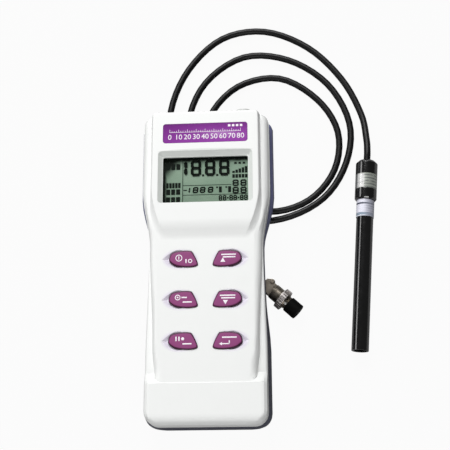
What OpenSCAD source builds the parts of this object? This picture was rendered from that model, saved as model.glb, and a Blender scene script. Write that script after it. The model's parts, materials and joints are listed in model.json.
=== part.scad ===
// Portable conductivity meter lying on its back, with a probe on a coiled lead.
// X runs across the meter, Y from its foot to its head, Z up out of its face.
// The origin is the middle of the flat back face that rests on the table.

/* [Case] */
// Length of the case along Y
case_l = 188; // [170:1:205]
// Half width of the head
head_hw = 38.3; // [37:0.1:41]
// Half width of the waist
waist_hw = 33.6; // [33:0.1:35]
// Half width of the foot
foot_hw = 35.2; // [34.6:0.1:37]
// Height of the joint between the two housings
split_z = 20; // [19:0.1:21]
// Height of the key panel
face_z = 35.4; // [35:0.1:36.2]
// Step of the raised head panel over the key panel
panel_step = 2.6; // [2:0.1:3.2]
// Wall thickness of the housings
wall = 2.4; // [2:0.1:2.8]

/* [Display] */
// Width of the display window
win_w = 51.2; // [46:0.1:54]
// Height of the display window
win_h = 29; // [25:0.1:31]
// Distance of the window's middle from the head end
win_back = 43.5; // [42:0.1:45]
// Length of the purple strip above the window
strip_h = 12.4; // [9:0.1:14]
// Distance of the strip's middle from the head end
strip_back = 14.5; // [13.5:0.1:15.5]

/* [Keys] */
// Distance between the two key columns
key_gap = 25.4; // [23:0.1:27]
// Distance between the key rows
key_pitch = 24.2; // [21:0.1:26]
// Distance of the upper key row from the foot of the panel's step
key_drop = 11.7; // [10.5:0.1:13]
// Travel of a key
key_travel = 1; // [0.6:0.1:1.1]

/* [Plug and socket] */
// Diameter of the contact shank that enters the socket
shank_d = 8.2; // [7.6:0.1:8.8]
// Diameter of the coupling ring
ring_d = 13.2; // [12.4:0.1:14]
// Position of the socket along X
socket_x = 22.5; // [20:0.1:23]
// Distance the socket stands out of the head
socket_out = 6; // [5:0.1:7]

/* [Probe] */
// Diameter of the probe tube
tube_d = 10.3; // [9:0.1:11.6]
// Diameter of the probe head
grip_d = 13.4; // [12.8:0.1:15]
// Length of the whole probe
probe_l = 119.2; // [104:0.1:138]
// Diameter of the lead
lead_d = 4.2; // [3.6:0.1:4.4]

/* [Hidden] */
half_l = case_l / 2;
// stretch of the stations, which are drawn for a case of 188
run = case_l / 188;
step_foot = 13;
step_top = 24;
crease = 70.4;
win_y = half_l - win_back;
strip_y = half_l - strip_back;
key_top_y = step_foot * run - key_drop;
panel_z = face_z + panel_step;
ceiling_z = face_z - wall;
fit = 0.2;
slide_fit = 0.1;
rear_floor = 9;
flank_z = 14;
keel_hw = 24;
board_z = 24;
board_t = 1.6;
board_hw = 28.6;
board_posts = [[26.4, win_y + 11.5], [26.6, -27 * run]];
frame_h = ceiling_z - board_z - board_t;
lens_t = 1.4;
recess_z = face_z + 0.4;
key_len = 17.2;
key_wid = 9.8;
dish_depth = 1.25;
key_base_z = ceiling_z - 1.7;
sheet_t = 1;
sheet_z = key_base_z - key_travel - 0.1 - sheet_t;
mat_hw = 23.8;
head_corner = 6.4;
foot_corner = 8;
panel_corner = 2;
screw_r = 1.5;
screw_head_r = 2.75;
screw_head_z = 3;
boss_r = 3.6;
rear_boss_r = 4.2;
boss_spots = [[29.6, half_l - 14], [26.4, 15 - half_l]];
cell_d = 10.4;
cell_l = 44.4;
cell_y = 34 - half_l;
contact_gap = 1.8;
door_hw = 20;
door_t = 1.8;
door_top = -10 * run;
tongue = 0.9;
tongue_z = 0.8;
tongue_t = 0.7;
pin_r = 0.5;
cap_a = 11.9;
cap_b = 19.9;
tube_wall = 1.4;
cell_depth = 7;
plug_at = [38.7, -12.1];
plug_turn = -42.5;
probe_tip = [89.1, -49.4];
probe_turn = 85.45;
lead_sides = 10;
free_route = [[99.1, 86, 4.6], [96.6, 104, 2.2], [85, 129, 2.1],
    [64, 152, 2.1], [36, 164.7, 2.1], [8, 160.5, 2.1], [-14, 139, 2.1], [-25.5, 110, 2.1],
    [-24, 80, 2.1], [-9, 51, 2.1], [16, 35.5, 2.1], [45, 35, 2.1], [71, 47.8, 2.1],
    [86, 71, 2.1], [89, 98, 2.1], [76, 125.5, 2.1], [51, 143.5, 2.1], [22, 146.5, 2.1],
    [-3, 129, 2.1], [-14, 101, 2.1], [-9.5, 71, 2.1], [9, 49, 2.1], [37, 39.8, 2.1],
    [62, 46.8, 2.1], [78.5, 66.5, 2.1], [81.5, 92, 2.1], [69, 115, 2.1], [45, 130.5, 2.1],
    [18, 125.6, 2.1], [0, 105, 2.1], [2, 82, 2.4], [17, 64, 4.2], [24.5, 44, 6.5],
    [26.4, 24, 5.9], [26.2, 8, 5.6]];

// Shared functions

// smooth step between two stations of the drawn case
function ease(a, b, y) =
    let (t = max(0, min(1, (y / run - a) / (b - a))))
    t * t * (3 - 2 * t);

function round_in(r, edge, v) =
    let (d = max(0, v - (edge - r)))
    r - sqrt(max(0, r * r - d * d));

// outer half width of the front housing at station y, before its plan corners
function side_hw(y) =
    foot_hw + (waist_hw - foot_hw) * ease(-55, 8, y) + (head_hw - waist_hw) * ease(10, 46, y);

function case_hw(y) =
    side_hw(y) - 0.98 * round_in(head_corner, half_l, y)
    - 0.98 * round_in(foot_corner, half_l, -y);

// mirrored closed ring of section points for one station
function both_sides(half, y) =
    let (n = len(half))
    concat([for (p = half) [p[0], y, p[1]]],
        [for (i = [n - 1:-1:1]) if (half[i][0] > 0.01) [-half[i][0], y, half[i][1]]]);

function closed_faces(rows, cols) =
    concat([[for (i = [cols - 1:-1:0]) i]],
        [[for (i = [0:cols - 1]) (rows - 1) * cols + i]],
        [for (r = [0:rows - 2], i = [0:cols - 1], h = [0, 1])
            let (a = r * cols + i, b = r * cols + (i + 1) % cols)
            h == 0 ? [a, b, a + cols] : [b, b + cols, a + cols]]);

module loft(rings) {
    polyhedron(points = [for (r = rings, p = r) p],
        faces = closed_faces(len(rings), len(rings[0])));
}

// smooth closed outline through a few corner points
function curve_at(p, q, r, s, t) =
    0.5 * ((2 * q) + (r - p) * t + (2 * p - 5 * q + 4 * r - s) * t * t
        + (3 * q - p - 3 * r + s) * t * t * t);

function smooth_loop(pts, steps) =
    let (n = len(pts))
    [for (i = [0:n - 1], k = [0:steps - 1])
        curve_at(pts[(i + n - 1) % n], pts[i], pts[(i + 1) % n], pts[(i + 2) % n], k / steps)];

module rounded_plate(w, h, t, r) {
    linear_extrude(height = t)
        union() {
            square([w - 2 * r, h], center = true);
            square([w, h - 2 * r], center = true);
            for (sx = [-1, 1], sy = [-1, 1])
                translate([sx * (w / 2 - r), sy * (h / 2 - r)])
                    circle(r = r, $fn = 48);
        }
}

module rod(r, a, b, sides = 64) {
    translate([0, 0, a])
        cylinder(r = r, h = b - a, $fn = sides);
}

module hollow_rod(r_out, r_in, a, b) {
    difference() {
        rod(r_out, a, b);
        rod(r_in, a - 0.1, b + 0.1);
    }
}

// Front housing

// level of the key panel with its rounded foot end
function level(y) = face_z - 0.98 * round_in(5, half_l, -y)
    + 0.3 * ease(-crease, -crease - 0.5, y);

function plateau(y) =
    level(y) + panel_step * ease(step_foot, step_top, y) - round_in(1.6, half_l, y);

function plateau_hw(y) =
    head_hw - 6 - (head_hw - 29.5) * pow(max(0, min(1, (44 - y / run) / 30)), 1.8)
    - 6 * ease(-48, -64, y);

function slope_w(y) = 0.9 + 2.9 * ease(46, 22, y);

function rail_z(y) =
    level(y) - 1.4 * ease(12, 44, y) - round_in(6, half_l, y);

// the rim outside the rolled edge, wide near the foot, where the edge hooks inwards
function rim_w(y) = 0.3 + 3.9 * ease(10, -50, y) + 1.5 * ease(-50, -66, y)
    + (y > -(crease + 0.2) * run ? round_in(5, crease * run, -y) : 0);

// plan corners: a small one on the raised panel, larger ones outside it and at the foot
function corner_x(x, foot, y) =
    let (xo = side_hw(y), fp = 1 - 0.98 * round_in(panel_corner, half_l, y) / foot)
    y < 0 ? x * case_hw(y) / xo
        : x <= foot ? x * fp
        : foot * fp + (x - foot) * (case_hw(y) - foot * fp) / (xo - foot);

function front_half(y) =
    let (xo = side_hw(y), zc = plateau(y), zr = rail_z(y),
        h = zc - zr, xp = plateau_hw(y), s = slope_w(y), foot = xp + s,
        k = ease(-64, -crease - 0.5, y), w = rim_w(y), xk = xo - w,
        roll = min(4.8, xk - foot - 0.5),
        drop = (5.2 - 0.8 * ease(10, 40, y)) * (1 - k), zk = zr - drop,
        er = k * 4.3 + (1 - k) * min(0.6 * w, 2),
        row = concat(
            [[0, zc], [xp - 1.2, zc], [xp - 0.5, zc - 0.06 * h],
                [xp, zc - 0.22 * h], [xp + 0.4 * s, zc - 0.6 * h],
                [xp + 0.75 * s, zc - 0.88 * h], [foot, zr]],
            [for (a = [0:22.5:90]) [xk - roll + roll * sin(a), zr - drop * (1 - cos(a))]],
            [[xk + 0.12 * w, zk]],
            [for (a = [0:30:90]) [xo - er + er * sin(a), zk - er * (1 - cos(a))]],
            [[xo, split_z]]))
    [for (p = row) [corner_x(p[0], foot, y), p[1]]];

head_stations = [for (v = [0, 0.3, 1, 2, 3.4, 5.6, 9, 24, 40]) half_l - v];
mid_stations = [for (v = [47, 43, 39, 35, 31, 28, 25, 22, 19, 16, 13, 9, 3, -5, -14, -24,
    -34, -44, -52, -58, -62, -64.5, -66.5, -68, -69.2, -70, -crease, -crease - 0.5]) v * run];
foot_stations = [for (v = [14, 8, 6, 4.2, 2.6, 1.4, 0.6, 0.1, 0]) v - half_l];
case_stations = concat(head_stations, mid_stations, foot_stations);

// inner hollow, a plainer section one wall inside
function hollow_half(y) =
    let (xi = case_hw(max(wall - half_l + 4, min(half_l - wall - 3, y))) - wall,
        top = plateau(max(wall - half_l + 4, min(half_l - wall, y))) - wall)
    [[0, top], [xi - 9, top], [xi - 7, min(top, ceiling_z)], [xi - 3.6, ceiling_z - 2.4],
        [xi - 0.4, ceiling_z - 5.6], [xi, ceiling_z - 8.6], [xi, split_z - 1], [0, split_z - 1]];

hollow_stations = concat([half_l - wall],
    [for (v = [70, 50, 44, 36, 30, 24, 18, 12, 0, -12, -30, -55, -75]) v * run],
    [wall + 3.4 - half_l]);

function key_outline(grow) =
    [for (p = smooth_loop([[-8.5, 0.2], [-6.7, 3.7], [-0.7, 4.9], [3.4, 4.8], [5.3, 3.7],
            [8.2, -2.5], [7.3, -4.4], [1.8, -4.9], [-4.2, -3.9], [-7.6, -1.8]], 4))
        [p[0] * (1 + 2 * grow / key_len), p[1] * (1 + 2 * grow / key_wid)]];

// leaf round the outer end of a key
function dish_outline(f) =
    concat([for (t = [0:0.1:1]) [-4 + (8.5 - 17.5 * t) * f, 6 * f * sin(180 * pow(t, 0.8))]],
        [for (t = [0.9:-0.1:0.1]) [-4 + (8.5 - 17.5 * t) * f, -6 * f * sin(180 * pow(t, 0.8))]]);

module at_key(col, row) {
    translate([col * key_gap / 2, key_top_y - row * key_pitch, 0])
        scale([-col, 1, 1])
            children();
}

module at_bosses() {
    for (p = boss_spots, s = [-1, 1])
        translate([s * p[0], p[1], 0])
            children();
}

module front_shell() {
    resize([0, case_l, 0])
        difference() {
            loft([for (y = case_stations) both_sides(front_half(y), y)]);
            difference() {
                loft([for (y = hollow_stations) both_sides(hollow_half(y), y)]);
                translate([0, win_y, ceiling_z + 3])
                    cube([win_w + 6, win_h + 6, 6], center = true);
                at_bosses()
                    rod(boss_r, split_z - 2, ceiling_z + 5, 40);
            }
            window_cuts();
            for (c = [-1, 1], r = [0:2])
                at_key(c, r)
                    key_cuts();
        }
}

module key_cuts() {
    translate([0, 0, ceiling_z - 1])
        linear_extrude(height = 9)
            polygon(key_outline(fit));
    hull() {
        translate([0, 0, face_z + 0.4])
            linear_extrude(height = 0.1)
                polygon(dish_outline(1.06));
        translate([0, 0, face_z - dish_depth])
            linear_extrude(height = 0.1)
                polygon(dish_outline(0.64));
    }
}

module front_housing() {
    color("white")
        difference() {
            front_shell();
            at_bosses()
                rod(screw_r + 0.02, split_z - 1, split_z + 9);
            socket_hole();
        }
}

module socket_hole() {
    translate([socket_x, half_l - 6, split_z])
        rotate([-90, 0, 0])
            rod(shank_d / 2 + 1.6, 0, 12);
}

module window_cuts() {
    translate([0, win_y, ceiling_z + 1])
        rounded_plate(win_w, win_h, 9, 1.2);
    translate([0, win_y, ceiling_z - 1])
        cube([win_w + 3 + 2 * fit, win_h + 3 + 2 * fit, 2 * lens_t + 2], center = true);
    hull() {
        translate([0, win_y, recess_z])
            cube([win_w + 0.6, win_h + 0.5, 0.01], center = true);
        translate([0, win_y + 1.6, panel_z + 0.3])
            cube([win_w + 6.4, win_h + 4.2, 0.01], center = true);
    }
    translate([0, strip_y, panel_z - 0.3])
        rounded_plate(win_w + fit, strip_h + fit, 3, 1.8);
}

// Rear housing

function bulge(y) = 0.5 + 1.8 * ease(10, 42, y) + 1.4 * ease(-22, -50, y);

function flank_level(y) =
    rear_floor + (flank_z - rear_floor) * ease(26, 16, y) - flank_z * ease(-20, -36, y)
    + round_in(3, half_l, -y) + round_in(3, half_l, y);

function keel_level(y) =
    rear_floor * ease(17, 25, y) + round_in(3, half_l, -y) + round_in(3, half_l, y);

function rear_half(y) =
    let (xo = side_hw(y), f = case_hw(y) / xo, zf = flank_level(y), zb = keel_level(y),
        h = split_z - zf, b = bulge(y),
        row = [[0, split_z], [xo, split_z], [xo + 0.7 * b, split_z - 0.12 * h],
            [xo + b, split_z - 0.35 * h], [xo + 0.9 * b, split_z - 0.6 * h],
            [xo + 0.3 * b - 0.4, split_z - 0.82 * h], [xo - 1.6, split_z - 0.95 * h],
            [xo - 3.4, zf], [keel_hw + 2, zf], [keel_hw + 0.5, zf - 0.1 * (zf - zb)],
            [keel_hw, zb + 0.35 * (zf - zb)], [keel_hw - 0.5, zb + 0.1 * (zf - zb)],
            [keel_hw - 1.5, zb], [0, zb]])
    [for (p = row) [p[0] * f, p[1]]];

rear_stations = concat([for (v = [0, 0.5, 1.4, 3, 5.6, 20, 40]) half_l - v],
    [for (v = [44, 38, 32, 26, 23.5, 21, 18.5, 16, 12, 4, -8, -20, -23, -26, -29, -32, -36,
        -42, -50, -60]) v * run],
    [for (v = [14, 8, 5.6, 3.4, 2, 1, 0.3, 0]) v - half_l]);

function rear_hollow_half(y) =
    let (yc = max(wall + 4 - half_l, min(half_l - wall - 3, y)), xi = case_hw(yc) - wall,
        zf = max(flank_level(yc), flank_level(yc + 3), flank_level(yc - 3)) + wall,
        zb = max(keel_level(yc), keel_level(yc - 3)) + wall, ki = keel_hw - wall + 0.2)
    [[0, split_z + 1], [xi, split_z + 1], [xi, split_z - 1.2], [xi - 0.6, zf + 1.6],
        [xi - 2.2, zf], [ki + 1, zf - 0.02], [ki, zf - 0.15 * (zf - zb) - 0.04],
        [ki - 0.3, zb + 0.02], [0, zb]];

rear_hollow_stations = concat([half_l - wall],
    [for (v = [70, 40, 30, 24, 18, 12, 0, -14, -20, -26, -32, -38, -50, -70]) v * run],
    [wall - half_l + 0.4]);

module rear_shell() {
    resize([0, case_l, 0])
        difference() {
            loft([for (y = rear_stations) both_sides(rear_half(y), y)]);
            difference() {
                loft([for (y = rear_hollow_stations) both_sides(rear_hollow_half(y), y)]);
                at_bosses()
                    rod(rear_boss_r, -1, split_z + 2, 40);
                for (y = [cell_y - cell_l / 2 - contact_gap - 1.4, cell_y + cell_l / 2 + contact_gap])
                    translate([-keel_hw, y, -1])
                        cube([2 * keel_hw, 1.4, 14]);
                for (p = board_posts, m = [-1, 1])
                    translate([m * p[0], p[1], 0])
                        rod(2, -1, split_z + 2, 24);
            }
            door_opening();
        }
}

module door_opening() {
    translate([-door_hw, -half_l - 1, -1])
        cube([2 * door_hw, half_l + 1 + door_top, 1 + door_t + 0.6]);
    translate([-door_hw - tongue - fit, -half_l - 1, tongue_z - slide_fit])
        cube([2 * (door_hw + tongue + fit), half_l + 1 + door_top, tongue_t + 2 * slide_fit]);
}

function screw_floor(i) = i == 0 ? rear_floor : 0;

module rear_housing() {
    color("midnightblue")
        difference() {
            union() {
                rear_shell();
                for (p = board_posts, m = [-1, 1])
                    translate([m * p[0], p[1], 0])
                        rod(2, split_z - 2, board_z);
            }
            for (i = [0, 1], m = [-1, 1])
                translate([m * boss_spots[i][0], boss_spots[i][1], screw_floor(i)]) {
                    rod(screw_r + 0.15, -1, split_z + 1);
                    rod(screw_head_r + 0.2, -1, screw_head_z);
                }
            socket_hole();
            seal_ring(slide_fit);
        }
}

// Seal, screws and door

function seal_loop(inset) =
    concat([for (y = case_stations) [case_hw(y) - inset, y * (half_l - inset) / half_l]],
        [for (i = [len(case_stations) - 1:-1:0])
            [inset - case_hw(case_stations[i]), case_stations[i] * (half_l - inset) / half_l]]);

module seal_ring(grow) {
    translate([0, 0, split_z - 1 - grow])
        linear_extrude(height = 1 + (grow > 0 ? 1 : 0))
            difference() {
                polygon(seal_loop(0.9 - grow));
                polygon(seal_loop(1.6 + grow));
            }
}

module housing_seal() {
    color("dimgray")
        difference() {
            seal_ring(0);
            translate([socket_x, half_l - 6, split_z])
                rotate([-90, 0, 0])
                    rod(shank_d / 2 + 3.2, 0, 12);
        }
}

module housing_screws() {
    color("silver")
        for (i = [0, 1], s = [-1, 1])
            translate([s * boss_spots[i][0], boss_spots[i][1], screw_floor(i)])
                difference() {
                    union() {
                        rod(screw_head_r, 1, screw_head_z);
                        rod(screw_r, screw_head_z - 0.1, split_z + 8 - screw_floor(i));
                    }
                    rod(1.3, 0, 2.4, 6);
                }
}

module battery_door() {
    len_y = half_l + door_top - 0.6 - fit;
    color("midnightblue")
        difference() {
            union() {
                translate([-door_hw + fit, -half_l + 0.6, 0.2])
                    cube([2 * (door_hw - fit), len_y, door_t]);
                translate([-door_hw - tongue, -half_l + 4, tongue_z])
                    cube([2 * (door_hw + tongue), len_y - 8, tongue_t]);
            }
            for (i = [0:4])
                translate([-9, -half_l + 9 + 2.6 * i, -1])
                    cube([18, 1.2, 1.7]);
        }
}

// Display, board and keys

module display_lens() {
    color("lightgray")
        translate([-win_w / 2 - 1.5, win_y - win_h / 2 - 1.5, ceiling_z])
            cube([win_w + 3, win_h + 3, lens_t]);
}

module display_cell() {
    color("darkseagreen")
        translate([-win_w / 2 - 0.5, win_y - win_h / 2 - 0.5, ceiling_z - 2.2])
            cube([win_w + 1, win_h + 1, 2]);
}

module display_frame() {
    color("whitesmoke")
        translate([0, win_y, board_z + board_t])
            difference() {
                translate([0, 0, frame_h / 2])
                    cube([win_w + 4, win_h + 4, frame_h], center = true);
                translate([0, 0, frame_h])
                    cube([win_w + 1.3, win_h + 1.3, 4.4], center = true);
                cube([win_w - 4, win_h - 1, 3 * frame_h], center = true);
            }
}

module contact_strips() {
    color("lightpink")
        for (s = [-1, 1])
            translate([3.6 - win_w / 2, win_y + s * (win_h / 2 - 2.6) - 1.2, board_z + board_t])
                cube([win_w - 7.2, 2.4, frame_h - 2.2]);
}

module main_board() {
    color("darkgreen")
        difference() {
            translate([-board_hw, 8 - half_l, board_z])
                cube([2 * board_hw, half_l - 8 + win_y + win_h / 2 + 7.5, board_t]);
            for (s = [-1, 1])
                translate([s * boss_spots[1][0], boss_spots[1][1], board_z - 1])
                    rod(boss_r + 0.4, 0, 4);
        }
}

module board_parts() {
    color("dimgray") {
        for (c = [-1, 1], r = [0:2])
            translate([c * key_gap / 2, key_top_y - r * key_pitch, board_z + board_t])
                rod(3, 0, 0.7);
        translate([-7, 10 * run, board_z - 1.6])
            cube([14, 14, 1.6]);
        translate([-18, -20 * run, board_z - 1.4])
            cube([8, 8, 1.4]);
        translate([6, -18 * run, board_z - 2.4])
            cube([10, 4, 2.4]);
        translate([8, win_y + 9.5, board_z - 3])
            cube([12, 5, 3]);
    }
}

module key_mat() {
    base_z = board_z + board_t;
    color("slategray")
        translate([0, key_top_y - key_pitch, 0])
            difference() {
                translate([-mat_hw, -key_pitch - 10, base_z])
                    cube([2 * mat_hw, 2 * key_pitch + 19, ceiling_z - base_z]);
                translate([1.4 - mat_hw, -key_pitch - 8.6, sheet_z + sheet_t])
                    cube([2 * mat_hw - 2.8, 2 * key_pitch + 16.2, 9]);
                difference() {
                    translate([1.4 - mat_hw, -key_pitch - 8.6, base_z - 1])
                        cube([2 * mat_hw - 2.8, 2 * key_pitch + 16.2, sheet_z - base_z + 1]);
                    for (c = [-1, 1], r = [-1:1])
                        translate([c * key_gap / 2, r * key_pitch, 0])
                            rod(2.2, base_z + 1.3, sheet_z + 1);
                }
            }
}

module key_at(col, row) {
    color("mediumorchid")
        at_key(col, row) {
            translate([0, 0, key_base_z])
                linear_extrude(height = 1.4)
                    polygon(key_outline(0.8));
            translate([0, 0, key_base_z + 1.3])
                linear_extrude(height = face_z + 0.4 - key_base_z - 1.3)
                    polygon(key_outline(0));
            translate([0, 0, face_z + 0.3])
                linear_extrude(height = 0.4)
                    polygon(key_outline(-0.35));
            translate([0, 0, face_z + 0.6])
                linear_extrude(height = 0.3)
                    polygon(key_outline(-0.8));
        }
}

module key_power() { key_at(-1, 0); }
module key_mode() { key_at(1, 0); }
module key_cal() { key_at(-1, 1); }
module key_memory() { key_at(1, 1); }
module key_hold() { key_at(-1, 2); }
module key_enter() { key_at(1, 2); }

module name_strip() {
    color("purple")
        translate([0, strip_y, panel_z - 0.3])
            rounded_plate(win_w, strip_h, 0.35, 1.8);
}

// Battery compartment

cell_step = cell_d + 0.3;
cell_z = wall + cell_d / 2 + 0.3;

module at_cells() {
    for (i = [0:3])
        translate([(i - 1.5) * cell_step, cell_y, cell_z])
            rotate([90, 0, i % 2 == 0 ? 0 : 180])
                children();
}

module batteries() {
    color("goldenrod")
        at_cells() {
            rod(cell_d / 2 - 0.1, -cell_l / 2, cell_l / 2 - 1.2);
            rod(2.7, cell_l / 2 - 1.3, cell_l / 2);
        }
}

module battery_contacts() {
    color("silver")
        at_cells() {
            translate([0, 0, -cell_l / 2 - contact_gap])
                cylinder(r1 = 3.4, r2 = 2.2, h = contact_gap, $fn = 48);
            translate([-4, -4, -cell_l / 2 - contact_gap])
                cube([8, 8, 0.4]);
            translate([-4, -4, cell_l / 2 + contact_gap - 0.4])
                cube([8, 8, 0.4]);
            rod(2.4, cell_l / 2 + 0.02, cell_l / 2 + contact_gap - 0.2);
        }
}

// Socket on the head

bore_r = shank_d / 2 + 0.05;

module at_socket() {
    translate([socket_x, half_l, split_z])
        rotate([-90, 0, 0])
            children();
}

module socket_shell() {
    color("silver")
        at_socket()
            difference() {
                union() {
                    rod(bore_r + 1.35, -7, socket_out);
                    rod(bore_r + 2.7, 0, 1.4);
                }
                rod(bore_r, 1, socket_out + 1);
                rod(bore_r - 0.6, -8, 2);
            }
}

module socket_insert() {
    color("black")
        at_socket()
            difference() {
                rod(bore_r - 0.62, -7, 1);
                at_pins()
                    rod(pin_r + 0.1, -2, 2);
            }
}

module socket_nut() {
    color("silver")
        at_socket()
            difference() {
                rod(bore_r + 3.6, -wall - 2.4, -wall, 6);
                rod(bore_r + 1.4, -9, 0);
            }
}

module at_pins() {
    for (i = [0:4])
        rotate([0, 0, 72 * i])
            translate([2, 0, 0])
                children();
}

// Plug on the lead

body_r = 4.75;
core_r = 4.3;
shank_end = 16.5;
ring_a = 6;
ring_b = 9.5;

set_r = 0.85;
clamp_y = 3.6;

module at_set_screw() {
    translate([0, 0, ring_b + 1.5])
        rotate([0, 90, 201])
            children();
}

module at_plug() {
    translate([plug_at[0], plug_at[1], ring_d / 2])
        rotate([0, 0, plug_turn])
            rotate([0, 90, 0])
                children();
}

module plug_body() {
    color("dimgray")
        at_plug()
            difference() {
                union() {
                    rod(body_r, 0, ring_a - 0.05);
                    rod(core_r, ring_a - 0.1, ring_b + 0.2);
                    rod(core_r + 0.35, ring_b + 0.05, ring_b + 0.6);
                    rod(shank_d / 2, ring_b + 0.4, shank_end);
                }
                rod(shank_d / 2 - 0.7, 6, shank_end + 1);
                rod(lead_d / 2 + 0.02, -1, 7);
                at_set_screw()
                    rod(set_r + 0.02, shank_d / 2 - 1, shank_d / 2 + 1);
            }
}

module coupling_ring() {
    color("silver")
        at_plug()
            difference() {
                rod(ring_d / 2, ring_a, ring_b);
                rod(core_r + 0.05, ring_a - 1, ring_b + 1);
                for (i = [0:23])
                    rotate([0, 0, 15 * i])
                        translate([ring_d / 2 + 0.15, 0, ring_a + 0.6])
                            rotate([0, 0, 45])
                                translate([-0.35, -0.35, 0])
                                    cube([0.7, 0.7, 9]);
            }
}

module plug_insert() {
    color("black")
        at_plug()
            difference() {
                rod(shank_d / 2 - 0.72, 7.1, shank_end - 2);
                rod(lead_d / 2, 6, 9);
            }
}

module plug_pins() {
    color("gold")
        at_plug()
            at_pins()
                rod(pin_r, shank_end - 2, shank_end + 2);
}

module plug_cap() {
    color("black")
        at_plug()
            difference() {
                rod(shank_d / 2 + 0.75, cap_a, cap_b);
                rod(shank_d / 2 + 0.05, cap_a - 1, cap_b - 0.9);
            }
}

module cord_clamp() {
    color("dimgray")
        at_plug()
            difference() {
                rotate([0, -90, 0])
                    translate([0, 0, -3.2])
                        linear_extrude(height = 6.4)
                            polygon([[-0.02, -3.9], [-2.6, -3.9], [-3, -5.1], [-4.6, -5.1],
                                [-7.4, -2.9], [-7.4, 2.9], [-4.6, 5.1], [-3, 5.1],
                                [-2.6, 3.9], [-0.02, 3.9]]);
                rod(lead_d / 2 + 0.02, -9, 1);
                translate([-0.4, -6, -9])
                    cube([0.8, 12, 7.6]);
                for (s = [-1, 1])
                    translate([0, s * clamp_y, -4])
                        rotate([0, 90, 0])
                            rod(0.85, -6, 6);
            }
}

module clamp_screws() {
    color("gainsboro")
        at_plug() {
            for (s = [-1, 1])
                translate([0, s * clamp_y, -4])
                    rotate([0, 90, 0]) {
                        rod(0.83, -3.25, 3);
                        rod(1.2, -3.9, -3.2);
                    }
            at_set_screw()
                rod(set_r, shank_d / 2 - 0.6, shank_d / 2 + 0.25);
        }
}

// Probe

head_a = probe_l - 25.8;
band_a = head_a + 6.8;
band_b = head_a + 16.3;
label_a = head_a - 11.1;
label_t = 0.6;
seat_r = tube_d / 2 - 0.3;

module at_probe() {
    translate([probe_tip[0], probe_tip[1], grip_d / 2])
        rotate([0, 0, probe_turn])
            rotate([0, 90, 0])
                children();
}

module probe_head() {
    r = grip_d / 2;
    color("black")
        at_probe()
            difference() {
                rotate_extrude($fn = 96)
                    polygon([[seat_r - 0.9, head_a], [r - 0.8, head_a], [r, head_a + 0.9],
                        [r, band_a], [r - 0.3, band_a], [r - 0.3, band_b], [r, band_b],
                        [r, probe_l - 1.9], [r - 1.9, probe_l], [3.3, probe_l], [3.3, probe_l - 3],
                        [lead_d / 2 + 0.02, probe_l - 3], [lead_d / 2 + 0.02, probe_l - 8],
                        [tube_d / 2 - 1.4, probe_l - 12], [tube_d / 2 - 1.4, head_a + 3]]);
                rod(seat_r, head_a - 1, head_a + 3);
            }
}

module probe_grommet() {
    color("black")
        at_probe()
            difference() {
                union() {
                    rod(3.28, probe_l - 3, probe_l);
                    rod(2.7, probe_l - 0.1, probe_l + 0.7);
                }
                rod(lead_d / 2 + 0.02, probe_l - 4, probe_l + 3);
            }
}

module probe_tube() {
    color("black")
        at_probe()
            difference() {
                union() {
                    rod(tube_d / 2, 0, label_a);
                    rod(seat_r, label_a - 0.1, head_a + 3);
                }
                rod(tube_d / 2 - tube_wall, -1, head_a + 4);
            }
}

module head_band() {
    color("silver")
        at_probe()
            hollow_rod(grip_d / 2 - 0.02, grip_d / 2 - 0.3, band_a, band_b);
}

module tube_band() {
    color("aliceblue")
        at_probe()
            hollow_rod(seat_r + label_t, seat_r, label_a, head_a - 0.1);
}

module cell_core() {
    color("dimgray")
        at_probe()
            difference() {
                rod(tube_d / 2 - tube_wall, cell_depth, 34);
                for (s = [-1, 1])
                    translate([s * 2, 0, 0])
                        rod(0.9, cell_depth - 1, cell_depth + 6);
                rod(0.8, cell_depth - 1, cell_depth + 6);
            }
}

module cell_electrodes() {
    color("darkslategray")
        at_probe()
            for (s = [-1, 1])
                translate([s * 2, 0, 0])
                    rod(0.9, cell_depth - 2.4, cell_depth + 6);
}

module temperature_sensor() {
    color("silver")
        at_probe()
            rod(0.8, cell_depth - 1.4, cell_depth + 6);
}

// Lead

function on_plug(s) =
    [plug_at[0] + s * cos(plug_turn), plug_at[1] + s * sin(plug_turn), ring_d / 2];

function on_probe(s) =
    [probe_tip[0] + s * cos(probe_turn), probe_tip[1] + s * sin(probe_turn), grip_d / 2];

// the lead is straight inside the probe head and inside the plug
route = concat([on_probe(probe_l - 7.4), on_probe(probe_l + 0.8), on_probe(probe_l + 7)],
    free_route, [on_plug(-13), on_plug(-8.6), on_plug(3)]);

function route_point(i) = route[max(0, min(len(route) - 1, i))];

function route_at(u) =
    let (i = floor(u), t = u - i)
    curve_at(route_point(i - 1), route_point(i), route_point(i + 1), route_point(i + 2), t);

lead_line = [for (u = [0:0.5:len(route) - 1])
    let (p = route_at(u))
    [p[0], p[1], max(p[2], lead_d / 2)]];

function unit(v) = v / norm(v);

function lead_ring(k) =
    let (n = len(lead_line), a = lead_line[max(0, k - 1)], b = lead_line[min(n - 1, k + 1)],
        d = unit(b - a), side = unit([d[1], -d[0], 0]), up = cross(side, d))
    [for (i = [0:lead_sides - 1])
        lead_line[k] + lead_d / 2 * (cos(360 * i / lead_sides) * side
            + sin(360 * i / lead_sides) * up)];

module probe_cable() {
    color("black")
        loft([for (k = [0:len(lead_line) - 1]) lead_ring(k)]);
}

// List of sub-parts

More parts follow.
